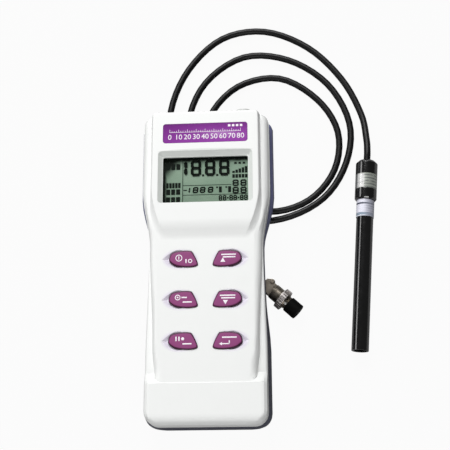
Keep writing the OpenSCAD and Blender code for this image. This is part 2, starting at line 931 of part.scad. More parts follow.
front_housing();
rear_housing();
battery_door();
housing_seal();
housing_screws();
display_lens();
display_cell();
display_frame();
contact_strips();
main_board();
board_parts();
key_mat();
key_power();
key_mode();
key_cal();
key_memory();
key_hold();
key_enter();
name_strip();
battery_contacts();
batteries();
socket_shell();
socket_insert();
socket_nut();
plug_body();
coupling_ring();
plug_insert();
plug_pins();
plug_cap();
cord_clamp();
clamp_screws();
probe_head();
probe_grommet();
probe_tube();
head_band();
tube_band();
cell_core();
cell_electrodes();
temperature_sensor();
probe_cable();
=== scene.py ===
import bmesh
import bpy
import json
import math
from mathutils import Matrix, Vector

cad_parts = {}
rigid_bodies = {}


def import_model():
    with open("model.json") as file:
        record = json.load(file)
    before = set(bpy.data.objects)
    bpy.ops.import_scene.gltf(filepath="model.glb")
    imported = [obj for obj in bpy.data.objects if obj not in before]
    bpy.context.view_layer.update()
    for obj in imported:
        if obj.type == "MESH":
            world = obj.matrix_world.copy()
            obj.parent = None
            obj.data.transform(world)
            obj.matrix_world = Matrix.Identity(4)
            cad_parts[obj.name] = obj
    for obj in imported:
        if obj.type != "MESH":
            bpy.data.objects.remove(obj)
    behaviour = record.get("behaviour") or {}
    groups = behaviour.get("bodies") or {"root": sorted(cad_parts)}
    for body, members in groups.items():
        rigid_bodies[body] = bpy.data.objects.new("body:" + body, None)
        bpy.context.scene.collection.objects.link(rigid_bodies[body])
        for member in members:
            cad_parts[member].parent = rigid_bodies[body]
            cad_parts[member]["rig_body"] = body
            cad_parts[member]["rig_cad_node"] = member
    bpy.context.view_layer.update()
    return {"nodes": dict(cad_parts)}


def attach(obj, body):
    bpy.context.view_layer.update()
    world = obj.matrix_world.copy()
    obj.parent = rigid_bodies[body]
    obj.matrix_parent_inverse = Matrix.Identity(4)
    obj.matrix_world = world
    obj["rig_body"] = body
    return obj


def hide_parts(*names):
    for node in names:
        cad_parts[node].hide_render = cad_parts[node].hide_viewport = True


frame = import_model()
nodes = frame["nodes"]
scene = bpy.context.scene
mm = 0.001
print("frame loaded")

# camera, fitted to the photographed outline
view = {"place": (0.0509, -0.1535, 0.600), "turn": (17.17, 4.06, -0.26), "lens": 80.54}

camData = bpy.data.cameras.new("viewCamera")
camData.lens = view["lens"]
camData.sensor_width = 36
camData.sensor_fit = "HORIZONTAL"
camData.clip_start = 0.01
cam = bpy.data.objects.new("viewCamera", camData)
cam.location = view["place"]
cam.rotation_euler = [math.radians(a) for a in view["turn"]]
scene.collection.objects.link(cam)
scene.camera = cam

# the free lead, laid along the same route as its solids
lead = {"diameter": 4.2, "inset": 0.02, "sides": 6, "steps": 5,
        "plugAt": (38.7, -12.1), "plugTurn": -42.5, "plugZ": 6.6, "plugEnd": (-13, -8.6, 3),
        "tip": (89.1, -49.4), "probeTurn": 85.45, "probeZ": 6.7, "probeLong": 119.2,
        "probeEnd": (-7.4, 0.8, 7), "exit": 0.7}
freeRoute = [
    (99.1, 86, 4.6), (96.6, 104, 2.2), (85, 129, 2.1), (64, 152, 2.1), (36, 164.7, 2.1),
    (8, 160.5, 2.1), (-14, 139, 2.1), (-25.5, 110, 2.1), (-24, 80, 2.1), (-9, 51, 2.1),
    (16, 35.5, 2.1), (45, 35, 2.1), (71, 47.8, 2.1), (86, 71, 2.1), (89, 98, 2.1),
    (76, 125.5, 2.1), (51, 143.5, 2.1), (22, 146.5, 2.1), (-3, 129, 2.1), (-14, 101, 2.1),
    (-9.5, 71, 2.1), (9, 49, 2.1), (37, 39.8, 2.1), (62, 46.8, 2.1), (78.5, 66.5, 2.1),
    (81.5, 92, 2.1), (69, 115, 2.1), (45, 130.5, 2.1), (18, 125.6, 2.1), (0, 105, 2.1),
    (2, 82, 2.4), (17, 64, 4.2), (24.5, 44, 6.5), (26.4, 24, 5.9), (26.2, 8, 5.6)]


def alongLine(at, turn, z, s):
    a = math.radians(turn)
    return (at[0] + s * math.cos(a), at[1] + s * math.sin(a), z)


def onPlug(s):
    return alongLine(lead["plugAt"], lead["plugTurn"], lead["plugZ"], s)


def onProbe(s):
    return alongLine(lead["tip"], lead["probeTurn"], lead["probeZ"], s)


def curveAt(p, q, r, s, t):
    return 0.5 * ((2 * q) + (r - p) * t + (2 * p - 5 * q + 4 * r - s) * t * t
                  + (3 * q - p - 3 * r + s) * t * t * t)


def leadPoints(steps):
    start = [onProbe(lead["probeLong"] + s) for s in lead["probeEnd"]]
    end = [onPlug(s) for s in lead["plugEnd"]]
    pts = [Vector(p) * mm for p in start + freeRoute + end]
    last = len(pts) - 1
    out = []
    for i in range(last):
        p, q, r, s = pts[max(0, i - 1)], pts[i], pts[i + 1], pts[min(last, i + 2)]
        for k in range(steps):
            v = curveAt(p, q, r, s, k / steps)
            v.z = max(v.z, lead["diameter"] / 2 * mm)
            out.append(v)
    out.append(pts[last])
    return out


leadPts = leadPoints(lead["steps"])
leadCurve = bpy.data.curves.new("leadJacket", "CURVE")
leadCurve.dimensions = "3D"
leadCurve.bevel_depth = 1.0  # the points' radius sets the thickness
leadCurve.bevel_resolution = lead["sides"]
leadCurve.use_fill_caps = True
spline = leadCurve.splines.new("POLY")
spline.points.add(len(leadPts) - 1)
for sp, v in zip(spline.points, leadPts):
    sp.co = (v.x, v.y, v.z, 1)
    sp.radius = (lead["diameter"] / 2 - lead["inset"]) * mm
spline.use_smooth = True
leadObj = bpy.data.objects.new("leadJacket", leadCurve)
scene.collection.objects.link(leadObj)
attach(leadObj, "meter")
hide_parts("probe_cable")


# selection and mesh helpers
def dropSelection():
    if bpy.context.object and bpy.context.object.mode != "OBJECT":
        bpy.ops.object.mode_set(mode="OBJECT")
    bpy.ops.object.select_all(action="DESELECT")


def pick(obj):
    dropSelection()
    obj.select_set(True)
    bpy.context.view_layer.objects.active = obj


def editAll(obj):
    pick(obj)
    bpy.ops.object.mode_set(mode="EDIT")
    bpy.ops.mesh.select_mode(type="FACE")
    bpy.ops.mesh.select_all(action="SELECT")


def endEdit():
    bpy.ops.object.mode_set(mode="OBJECT")


def bakePlace(obj, place=None):
    if place is not None:
        obj.matrix_world = place @ obj.matrix_world
    pick(obj)
    bpy.ops.object.transform_apply(location=True, rotation=True, scale=True)


def applyModifiers(obj):
    pick(obj)
    for m in list(obj.modifiers):
        bpy.ops.object.modifier_apply(modifier=m.name)


def addBevel(obj, width, steps=2, angle=35):
    m = obj.modifiers.new("edge", "BEVEL")
    m.width = width
    m.segments = steps
    m.limit_method = "ANGLE"
    m.angle_limit = math.radians(angle)
    applyModifiers(obj)


def smoothBy(obj, angle):
    pick(obj)
    bpy.ops.object.shade_smooth_by_angle(angle=math.radians(angle))


def weighNormals(obj):
    m = obj.modifiers.new("weigh", "WEIGHTED_NORMAL")
    m.mode = "FACE_AREA_WITH_ANGLE"
    m.keep_sharp = True
    m.weight = 70
    applyModifiers(obj)


def joinAll(name, parts):
    dropSelection()
    for p in parts:
        p.select_set(True)
    bpy.context.view_layer.objects.active = parts[0]
    if len(parts) > 1:
        bpy.ops.object.join()
    obj = bpy.context.object
    obj.name = name
    obj.data.name = name
    return obj


weldGap = 0.004 * mm


# a merged copy of a CAD node that stands for it
def mergedCopy(node, name, body, flatten=0.1):
    obj = nodes[node].copy()
    obj.data = nodes[node].data.copy()
    obj.name = name
    obj.data.name = name
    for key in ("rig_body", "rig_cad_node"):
        if key in obj:
            del obj[key]
    scene.collection.objects.link(obj)
    editAll(obj)
    bpy.ops.mesh.remove_doubles(threshold=weldGap)
    bpy.ops.mesh.dissolve_limited(angle_limit=math.radians(flatten))
    endEdit()
    bpy.ops.mesh.customdata_custom_splitnormals_clear()
    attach(obj, body)
    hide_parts(node)
    return obj


def smoothCopy(node, name, body="meter", angle=32, bevel=0, flatten=0.1):
    obj = mergedCopy(node, name, body, flatten)
    if bevel:
        addBevel(obj, bevel)
    smoothBy(obj, angle)
    weighNormals(obj)
    return obj


def dress(obj, finish):
    obj.data.materials.clear()
    obj.data.materials.append(finishes[finish])


# node trees: small builders shared by the materials
def feed(tree, value, socket):
    if isinstance(value, (int, float)):
        socket.default_value = value
    else:
        tree.links.new(value, socket)


def mathNode(tree, op, a, b=None):
    n = tree.nodes.new("ShaderNodeMath")
    n.operation = op
    for i, v in enumerate((a, b)):
        if v is not None:
            feed(tree, v, n.inputs[i])
    return n.outputs[0]


def rangeNode(tree, value, lo, hi, outLo=0.0, outHi=1.0, smooth=False):
    n = tree.nodes.new("ShaderNodeMapRange")
    if smooth:
        n.interpolation_type = "SMOOTHSTEP"
    feed(tree, value, n.inputs["Value"])
    for key, v in (("From Min", lo), ("From Max", hi), ("To Min", outLo), ("To Max", outHi)):
        feed(tree, v, n.inputs[key])
    return n.outputs["Result"]


def noiseNode(tree, vector, scale, detail=2.0):
    n = tree.nodes.new("ShaderNodeTexNoise")
    tree.links.new(vector, n.inputs["Vector"])
    feed(tree, scale, n.inputs["Scale"])
    n.inputs["Detail"].default_value = detail
    return n.outputs["Fac"]


def mixColor(tree, fac, a, b):
    n = tree.nodes.new("ShaderNodeMix")
    n.data_type = "RGBA"
    feed(tree, fac, n.inputs[0])
    for v, socket in ((a, n.inputs[6]), (b, n.inputs[7])):
        if isinstance(v, tuple):
            socket.default_value = rgba(v)
        else:
            tree.links.new(v, socket)
    return n.outputs[2]


def rgba(c):
    return (c[0], c[1], c[2], 1)


def objectCoord(tree):
    return tree.nodes.new("ShaderNodeTexCoord").outputs["Object"]


def splitXyz(tree, vector):
    n = tree.nodes.new("ShaderNodeSeparateXYZ")
    tree.links.new(vector, n.inputs[0])
    return n.outputs


def turnedCoord(tree, turn):
    n = tree.nodes.new("ShaderNodeMapping")
    n.inputs["Rotation"].default_value = (0, 0, math.radians(-turn))
    tree.links.new(objectCoord(tree), n.inputs["Vector"])
    return n.outputs["Vector"]


def newGroup(name, inputs, outputs):
    g = bpy.data.node_groups.new(name, "ShaderNodeTree")
    for label, kind, value in inputs:
        s = g.interface.new_socket(name=label, in_out="INPUT", socket_type=kind)
        s.default_value = value
    for label, kind in outputs:
        g.interface.new_socket(name=label, in_out="OUTPUT", socket_type=kind)
    return g, g.nodes.new("NodeGroupInput").outputs, g.nodes.new("NodeGroupOutput").inputs


colorKind, floatKind = "NodeSocketColor", "NodeSocketFloat"


# moulded skin: spark-eroded grain, slow drift of tone and gloss, a few rubbed spots
def buildSkinGroup():
    g, gi, go = newGroup("mouldedSkin", [
        ("Base", colorKind, (0.8, 0.8, 0.8, 1)), ("Shade", colorKind, (0.7, 0.7, 0.7, 1)),
        ("Grain Scale", floatKind, 2600.0), ("Rough Low", floatKind, 0.3),
        ("Rough High", floatKind, 0.42), ("Spread", floatKind, 0.5)],
        [("Color", colorKind), ("Roughness", floatKind), ("Height", floatKind)])
    coord = objectCoord(g)
    drift = mathNode(g, "MULTIPLY", noiseNode(g, coord, 38.0, 3), gi["Spread"])
    rubbed = noiseNode(g, coord, 210.0, 4)
    g.links.new(mixColor(g, drift, gi["Base"], gi["Shade"]), go["Color"])
    g.links.new(rangeNode(g, rubbed, 0.3, 0.7, gi["Rough Low"], gi["Rough High"]), go["Roughness"])
    pits = noiseNode(g, coord, gi["Grain Scale"], 2)
    g.links.new(mathNode(g, "ADD", pits, mathNode(g, "MULTIPLY", rubbed, 0.3)), go["Height"])
    return g


# worked metal: drawn lines, small scratches and tarnish in patches
def buildMetalGroup():
    g, gi, go = newGroup("workedMetal", [
        ("Bright", colorKind, (0.8, 0.8, 0.8, 1)), ("Tarnish", colorKind, (0.4, 0.4, 0.4, 1)),
        ("Line Scale", floatKind, 900.0), ("Rough Low", floatKind, 0.15),
        ("Rough High", floatKind, 0.35)],
        [("Color", colorKind), ("Roughness", floatKind), ("Height", floatKind)])
    coord = objectCoord(g)
    cloud = rangeNode(g, noiseNode(g, coord, 160.0, 4), 0.42, 0.68)
    lines = noiseNode(g, coord, gi["Line Scale"], 3)
    g.links.new(mixColor(g, cloud, gi["Bright"], gi["Tarnish"]), go["Color"])
    g.links.new(rangeNode(g, lines, 0.0, 1.0, gi["Rough Low"], gi["Rough High"]), go["Roughness"])
    g.links.new(lines, go["Height"])
    return g


# worn edge: paler rim where the surface turns, broken up by noise
def buildWearGroup():
    g, gi, go = newGroup("edgeWear", [
        ("Color", colorKind, (0.8, 0.8, 0.8, 1)), ("Worn", colorKind, (0.9, 0.9, 0.9, 1)),
        ("Amount", floatKind, 0.4)], [("Color", colorKind)])
    geo = g.nodes.new("ShaderNodeNewGeometry")
    edge = rangeNode(g, geo.outputs["Pointiness"], 0.52, 0.60)
    broken = rangeNode(g, noiseNode(g, objectCoord(g), 420.0, 3), 0.35, 0.6)
    mask = mathNode(g, "MULTIPLY", mathNode(g, "MULTIPLY", edge, broken), gi["Amount"])
    g.links.new(mixColor(g, mask, gi["Color"], gi["Worn"]), go["Color"])
    return g


skinGroup = buildSkinGroup()
metalGroup = buildMetalGroup()
wearGroup = buildWearGroup()


def startMaterial(name):
    m = bpy.data.materials.new(name)
    m.use_nodes = True
    return m, m.node_tree, m.node_tree.nodes["Principled BSDF"]


def placeGroup(t, group, values):
    n = t.nodes.new("ShaderNodeGroup")
    n.node_tree = group
    for key, v in values.items():
        if isinstance(v, (tuple, int, float)):
            n.inputs[key].default_value = v
        else:
            t.links.new(v, n.inputs[key])
    return n.outputs


def bumpFrom(t, shader, height, strength, distance):
    b = t.nodes.new("ShaderNodeBump")
    b.inputs["Strength"].default_value = strength
    b.inputs["Distance"].default_value = distance
    t.links.new(height, b.inputs["Height"])
    t.links.new(b.outputs["Normal"], shader.inputs["Normal"])


# skin over its own base and shade, or over a colour and relief made by the caller
def skinOn(t, shader, look, color=None, relief=None):
    g = placeGroup(t, skinGroup, {
        "Base": rgba(look["base"]), "Shade": rgba(look["shade"]), "Grain Scale": look["grain"],
        "Rough Low": look["rough"][0], "Rough High": look["rough"][1],
        "Spread": look.get("spread", 0.6)})
    out = g["Color"]
    if color is not None:
        out = mixColor(t, look.get("cover", 0.85), g["Color"], color)
    if "worn" in look:
        out = placeGroup(t, wearGroup, {"Color": out, "Worn": rgba(look["worn"]),
                                        "Amount": look["wear"]})["Color"]
    t.links.new(out, shader.inputs["Base Color"])
    t.links.new(g["Roughness"], shader.inputs["Roughness"])
    shader.inputs["Specular IOR Level"].default_value = look.get("specular", 0.5)
    shader.inputs["IOR"].default_value = look.get("ior", 1.5)
    height = g["Height"] if relief is None else mathNode(t, "ADD", g["Height"], relief)
    bumpFrom(t, shader, height, look["bump"], look.get("depth", 0.00003))


# painted shade in the dishes round the keys, coloured lilac like light bounced off the purple keys
def keyDishShade(t, look):
    xyz = splitXyz(t, objectCoord(t))
    across = mathNode(t, "SUBTRACT", mathNode(t, "ABSOLUTE", xyz["X"]), look["haloX"])
    row = mathNode(t, "PINGPONG", mathNode(t, "SUBTRACT", xyz["Y"], look["haloTop"]),
                   look["haloPitch"] / 2)
    dx = mathNode(t, "DIVIDE", across, look["haloSize"][0])
    dy = mathNode(t, "DIVIDE", row, look["haloSize"][1])
    reach = mathNode(t, "ADD", mathNode(t, "POWER", mathNode(t, "ABSOLUTE", dx), 2.0),
                     mathNode(t, "POWER", dy, 2.0))
    near = rangeNode(t, reach, *look["haloFade"], 1.0, 0.0, True)
    low = rangeNode(t, xyz["Y"], *look["haloLow"])
    high = rangeNode(t, xyz["Y"], *look["haloHigh"], 1.0, 0.0)
    return mathNode(t, "MULTIPLY", near, mathNode(t, "MULTIPLY", low, high))


# painted grey shade on the walls of the display recess, running on in a low arch above its upper
# edge as if the shaded wall reached that far
def recessPaintedShade(t, look):
    xyz = splitXyz(t, objectCoord(t))
    offMiddle = mathNode(t, "ABSOLUTE", xyz["X"])
    wide = rangeNode(t, offMiddle, *look["recessX"], 1.0, 0.0)
    above = mathNode(t, "GREATER_THAN", xyz["Y"], look["recessY"][0])
    below = mathNode(t, "LESS_THAN", xyz["Y"], look["recessY"][1])
    sunk = rangeNode(t, xyz["Z"], *look["recessZ"], 1.0, 0.0)
    bow = mathNode(t, "POWER", mathNode(t, "DIVIDE", offMiddle, look["archHalf"]), look["archBow"])
    edge = mathNode(t, "SUBTRACT", look["archY"], mathNode(t, "MULTIPLY", bow, look["archRise"]))
    over = rangeNode(t, mathNode(t, "SUBTRACT", xyz["Y"], edge), *look["archSoft"], 1.0, 0.0)
    foot = look["archY"] - look["archRise"]
    start = rangeNode(t, xyz["Y"], foot - look["archStart"], foot)
    band = mathNode(t, "MULTIPLY", over, start)
    tone = mathNode(t, "MAXIMUM", sunk, band)
    inside = mathNode(t, "MULTIPLY", above, below)
    return mathNode(t, "MULTIPLY", tone, mathNode(t, "MULTIPLY", wide, inside))


def caseMaterial(name, look):
    m, t, shader = startMaterial(name)
    # painted lilac shade in the key dishes
    dishShaded = mixColor(t, keyDishShade(t, look), look["base"], look["halo"])
    # painted grey shade on the display recess walls and the arch above them
    skinOn(t, shader, look, mixColor(t, recessPaintedShade(t, look), dishShaded, look["recess"]))
    return m


# rear shell: bluish navy towards the head, darkened by painted shade to a nearly neutral black at
# the foot
def rearMaterial(name, look):
    m, t, shader = startMaterial(name)
    up = rangeNode(t, splitXyz(t, objectCoord(t))["Y"], *look["footShadeY"], smooth=True)
    skinOn(t, shader, look, mixColor(t, up, look["foot"], look["base"]))
    return m


def mouldedMaterial(name, look):
    m, t, shader = startMaterial(name)
    skinOn(t, shader, look)
    return m


def metalMaterial(name, look):
    m, t, shader = startMaterial(name)
    g = placeGroup(t, metalGroup, {
        "Bright": rgba(look["bright"]), "Tarnish": rgba(look["tarnish"]),
        "Line Scale": look["lines"], "Rough Low": look["rough"][0],
        "Rough High": look["rough"][1]})
    worn = placeGroup(t, wearGroup, {"Color": g["Color"], "Worn": rgba(look["worn"]),
                                     "Amount": 0.5})
    shader.inputs["Metallic"].default_value = 1
    t.links.new(worn["Color"], shader.inputs["Base Color"])
    t.links.new(g["Roughness"], shader.inputs["Roughness"])
    bumpFrom(t, shader, g["Height"], look["bump"], 0.00002)
    return m


looks = {
    "caseWhite": {"base": (0.83, 0.84, 0.83), "shade": (0.79, 0.80, 0.79), "grain": 3200.0,
                  "rough": (0.34, 0.46), "bump": 0.10, "specular": 0.4},
    "caseNavy": {"base": (0.1445, 0.153, 0.2805), "shade": (0.100, 0.106, 0.190), "grain": 2400.0,
                 "rough": (0.40, 0.55), "bump": 0.3, "worn": (0.10, 0.11, 0.20), "wear": 0.4},
    "whiteInk": {"base": (0.90, 0.86, 0.90), "shade": (0.84, 0.80, 0.85), "grain": 3000.0,
                 "rough": (0.4, 0.5), "bump": 0.08},
    "stripInk": {"base": (0.235, 0.040, 0.300), "shade": (0.275, 0.055, 0.335), "grain": 2600.0,
                 "rough": (0.32, 0.42), "bump": 0.12, "specular": 0.2},
    "headBlack": {"base": (0.0018, 0.0018, 0.0019), "shade": (0.0035, 0.0035, 0.0036),
                  "grain": 1500.0, "rough": (0.11, 0.17), "bump": 0.04, "specular": 1.0,
                  "ior": 1.65, "worn": (0.02, 0.02, 0.02), "wear": 0.15},
    "tubeBlack": {"base": (0.0018, 0.0018, 0.0020), "shade": (0.0036, 0.0037, 0.0040),
                  "grain": 1200.0, "rough": (0.11, 0.17), "bump": 0.04, "specular": 1.0,
                  "ior": 1.65, "worn": (0.02, 0.02, 0.02), "wear": 0.15},
    "capBlack": {"base": (0.002, 0.002, 0.002), "shade": (0.004, 0.004, 0.004), "grain": 1800.0,
                 "rough": (0.5, 0.66), "bump": 0.3, "specular": 0.05},
    "blackPlastic": {"base": (0.010, 0.010, 0.011), "shade": (0.018, 0.018, 0.020),
                     "grain": 1500.0, "rough": (0.3, 0.42), "bump": 0.2, "specular": 0.4},
    "sealRubber": {"base": (0.03, 0.03, 0.032), "shade": (0.05, 0.05, 0.052), "grain": 1800.0,
                   "rough": (0.5, 0.7), "bump": 0.3},
    "chipBlack": {"base": (0.02, 0.02, 0.022), "shade": (0.04, 0.04, 0.042), "grain": 1600.0,
                  "rough": (0.4, 0.55), "bump": 0.3},
    "frameWhite": {"base": (0.70, 0.71, 0.70), "shade": (0.62, 0.63, 0.62), "grain": 2400.0,
                   "rough": (0.42, 0.55), "bump": 0.15},
    "segmentInk": {"base": (0.004, 0.007, 0.005), "shade": (0.009, 0.013, 0.010), "grain": 2000.0,
                   "rough": (0.5, 0.6), "bump": 0.04, "specular": 0.05},
    "shellPale": {"base": (0.62, 0.63, 0.62), "shade": (0.5, 0.51, 0.5), "grain": 1800.0,
                  "rough": (0.3, 0.4), "bump": 0.1},
    "graphite": {"base": (0.03, 0.03, 0.032), "shade": (0.06, 0.06, 0.062), "grain": 2500.0,
                 "rough": (0.45, 0.6), "bump": 0.3},
}
finishes = {name: mouldedMaterial(name, look) for name, look in looks.items()}
# painted shades on the white case: lilac in the dishes round the keys, grey on the display recess
# walls and in a low arch above them
looks["caseWhite"].update({
    "halo": (0.71, 0.66, 0.78), "haloX": 0.0146, "haloTop": 0.0013, "haloPitch": 0.0242,
    "haloSize": (0.0106, 0.0062), "haloFade": (0.55, 1.20), "haloLow": (-0.057, -0.055),
    "haloHigh": (0.008, 0.010), "recess": (0.66, 0.69, 0.66), "recessX": (0.0286, 0.0290),
    "recessY": (0.0345, 0.0705), "recessZ": (0.03785, 0.03797), "archY": 0.0694,
    "archRise": 0.0012, "archHalf": 0.0285, "archBow": 2.4, "archSoft": (-0.0002, 0.0002),
    "archStart": 0.0004})
finishes["caseWhite"] = caseMaterial("caseWhite", looks["caseWhite"])
# the rear shell's foot colour is painted shade
looks["caseNavy"].update({"foot": (0.030, 0.032, 0.042), "footShadeY": (-0.045, 0.05)})
finishes["caseNavy"] = rearMaterial("caseNavy", looks["caseNavy"])

metals = {
    "brightSteel": {"bright": (0.80, 0.79, 0.77), "tarnish": (0.55, 0.53, 0.50), "lines": 1500.0,
                    "rough": (0.16, 0.32), "bump": 0.25, "worn": (0.92, 0.91, 0.90)},
    "ringNickel": {"bright": (0.62, 0.58, 0.57), "tarnish": (0.40, 0.36, 0.34), "lines": 1400.0,
                   "rough": (0.34, 0.50), "bump": 0.3, "worn": (0.92, 0.90, 0.88)},
    "darkChrome": {"bright": (0.48, 0.42, 0.35), "tarnish": (0.11, 0.09, 0.065), "lines": 1200.0,
                   "rough": (0.28, 0.44), "bump": 0.3, "worn": (0.62, 0.60, 0.55)},
    "screwBright": {"bright": (0.95, 0.94, 0.92), "tarnish": (0.8, 0.79, 0.77), "lines": 1500.0,
                    "rough": (0.34, 0.5), "bump": 0.2, "worn": (0.97, 0.96, 0.95)},
    "goldPlate": {"bright": (0.80, 0.58, 0.22), "tarnish": (0.6, 0.4, 0.14), "lines": 1200.0,
                  "rough": (0.15, 0.3), "bump": 0.2, "worn": (0.9, 0.75, 0.4)},
}
finishes.update({name: metalMaterial(name, look) for name, look in metals.items()})


# key rubber: dusky rim, brighter crown, read from the height of the moulded dome
def keyMaterial(name, look):
    m, t, shader = startMaterial(name)
    z = splitXyz(t, objectCoord(t))["Z"]
    crown = rangeNode(t, z, *look["rimZ"], smooth=True)
    skinOn(t, shader, look, mixColor(t, crown, look["rim"], look["base"]))
    return m


keyLook = {"base": (0.265, 0.062, 0.185), "shade": (0.31, 0.085, 0.225),
           "rim": (0.055, 0.010, 0.034), "rimZ": (0.03607, 0.03617), "cover": 0.94,
           "grain": 2800.0, "rough": (0.40, 0.52), "bump": 0.2, "specular": 0.2}
finishes["keyRubber"] = keyMaterial("keyRubber", keyLook)


# lead jacket: soft extruded rubber, slightly uneven along its run
def leadMaterial(name, look):
    m, t, shader = startMaterial(name)
    uneven = noiseNode(t, objectCoord(t), look["rib"], 2)
    skinOn(t, shader, look, relief=mathNode(t, "MULTIPLY", uneven, 3.0))
    return m


leadLook = {"base": (0.0035, 0.0035, 0.0037), "shade": (0.008, 0.008, 0.0085), "grain": 1800.0,
            "rough": (0.36, 0.52), "bump": 0.4, "depth": 0.00006, "specular": 0.24, "rib": 520.0}
finishes["leadRubber"] = leadMaterial("leadRubber", leadLook)


# wrapped label: plain rules across it, print-like marks on one flank, painted shade darkening that
# flank, and a painted dark rim along its left edge
def bandMaterial(name, look):
    m, t, shader = startMaterial(name)
    coord = turnedCoord(t, lead["probeTurn"])
    xyz = splitXyz(t, coord)
    along = mathNode(t, "SUBTRACT", xyz["X"], look["start"])
    ramp = t.nodes.new("ShaderNodeValToRGB")
    ramp.color_ramp.interpolation = "EASE"
    stops = look["stops"]
    while len(ramp.color_ramp.elements) < len(stops):
        ramp.color_ramp.elements.new(0.5)
    for e, (pos, c) in zip(ramp.color_ramp.elements, stops):
        e.position = pos
        e.color = rgba(c)
    t.links.new(mathNode(t, "DIVIDE", along, look["span"]), ramp.inputs["Fac"])
    aside = mathNode(t, "SUBTRACT", look["middle"], xyz["Y"])
    flank = rangeNode(t, aside, *look["flank"], smooth=True)
    rules = rangeNode(t, mathNode(t, "SINE", mathNode(t, "MULTIPLY", along, look["rules"])),
                      0.1, 0.7, 0.0, look["ruleDark"])
    broken = rangeNode(t, noiseNode(t, coord, 480.0, 3), 0.3, 0.5)
    marks = mathNode(t, "MULTIPLY", mathNode(t, "MULTIPLY", rules, flank), broken)
    # painted shade over the flank
    toned = mixColor(t, mathNode(t, "MULTIPLY", flank, look["flankShade"]), ramp.outputs["Color"],
                     look["flankShadeColor"])
    # painted dark rim along the left edge, in the same dark colour as the print
    edge = rangeNode(t, aside, *look["leftEdge"], 0.8, 0.0)
    skinOn(t, shader, look,
           mixColor(t, mathNode(t, "MAXIMUM", marks, edge), toned, look["ink"]))
    shader.inputs["Metallic"].default_value = look["metallic"]
    return m


tipTurned = Matrix.Rotation(math.radians(-lead["probeTurn"]), 3, "Z") @ (Vector(
    (lead["tip"][0], lead["tip"][1], lead["probeZ"])) * mm)
foil, grey = (0.86, 0.86, 0.85), (0.45, 0.46, 0.43)
# the flank darkening and the left-edge rim set in these looks are painted shade
headLook = {"start": tipTurned.x + 0.1002, "span": 0.0095, "middle": tipTurned.y, "metallic": 0.35,
            "rough": (0.22, 0.34), "base": foil, "shade": (0.74, 0.74, 0.72), "grain": 1800.0,
            "bump": 0.1, "flank": (-0.0025, -0.0008), "rules": 3300.0, "ruleDark": 0.8,
            "leftEdge": (-0.0057, -0.0052), "flankShade": 0.8, "flankShadeColor": (0.24, 0.27, 0.22),
            "ink": (0.08, 0.09, 0.10), "cover": 0.96,
            "stops": [(0, grey), (0.06, foil), (0.30, foil), (0.36, (0.6, 0.6, 0.6)), (0.42, foil),
                      (0.92, foil), (0.97, grey)]}
pale, steelBlue, navy = (0.80, 0.80, 0.90), (0.10, 0.16, 0.24), (0.03, 0.04, 0.07)
lilac, mistBlue = (0.66, 0.70, 0.78), (0.45, 0.55, 0.63)
tubeLook = {"start": tipTurned.x + 0.0823, "span": 0.0110, "middle": tipTurned.y, "metallic": 0.0,
            "rough": (0.28, 0.40), "base": pale, "shade": (0.72, 0.72, 0.82), "grain": 1600.0,
            "bump": 0.1, "flank": (-0.0030, 0.0035), "rules": 4200.0, "ruleDark": 0.6,
            "leftEdge": (-0.0090, -0.0080), "flankShade": 0.75, "flankShadeColor": (0.26, 0.27, 0.33),
            "ink": (0.16, 0.17, 0.22), "cover": 0.97,
            "stops": [(0, lilac), (0.06, lilac), (0.085, steelBlue), (0.11, steelBlue),
                      (0.13, mistBlue), (0.15, mistBlue),
                      (0.17, steelBlue), (0.19, steelBlue), (0.215, pale), (0.68, pale),
                      (0.70, navy), (0.775, navy), (0.80, pale)]}
finishes["headFoil"] = bandMaterial("headFoil", headLook)
finishes["tubePaper"] = bandMaterial("tubePaper", tubeLook)

window = {"wide": 51.2, "high": 29.0, "midY": 50.5, "cellTop": 32.8}


# display cell: grey-green, with a painted shadow towards its top and left edges, besides the real
# shadow the window's rim casts
def cellMaterial(name, look):
    m, t, shader = startMaterial(name)
    coord = objectCoord(t)
    xyz = splitXyz(t, coord)
    fromLeft = mathNode(t, "ADD", xyz["X"], window["wide"] / 2 * mm)
    fromTop = mathNode(t, "SUBTRACT", (window["midY"] + window["high"] / 2) * mm, xyz["Y"])
    wobble = mathNode(t, "MULTIPLY", noiseNode(t, coord, 260.0, 2), look["wobble"])
    left = rangeNode(t, mathNode(t, "ADD", fromLeft, wobble), *look["leftFade"], 1.0, 0.0, True)
    top = rangeNode(t, mathNode(t, "ADD", fromTop, wobble), *look["topFade"], 1.0, 0.0, True)
    corner = rangeNode(t, mathNode(t, "ADD", fromLeft, mathNode(t, "MULTIPLY", fromTop, 0.9)),
                       *look["cornerFade"], 1.0, 0.0, True)
    # painted shadow: the left, top and corner masks together
    dark = mathNode(t, "MAXIMUM", mathNode(t, "MAXIMUM", left, top), corner)
    cloud = rangeNode(t, noiseNode(t, coord, 60.0, 2), 0.35, 0.65)
    tint = mixColor(t, cloud, look["base"], look["shade"])
    color = mixColor(t, mathNode(t, "MULTIPLY", dark, look["depth"]), tint, look["dark"])
    t.links.new(color, shader.inputs["Base Color"])
    t.links.new(rangeNode(t, cloud, 0.0, 1.0, 0.34, 0.44), shader.inputs["Roughness"])
    shader.inputs["Specular IOR Level"].default_value = look["specular"]
    return m


# the fades place the cell's painted shadow and depth sets its strength
cellLook = {"base": (0.205, 0.300, 0.222), "shade": (0.250, 0.345, 0.262),
            "dark": (0.002, 0.003, 0.002), "leftFade": (0.0014, 0.0036),
            "topFade": (0.0016, 0.0034), "cornerFade": (0.0075, 0.0165), "wobble": 0.0012,
            "depth": 0.985, "specular": 0.06}
finishes["displayCellGlass"] = cellMaterial("displayCellGlass", cellLook)


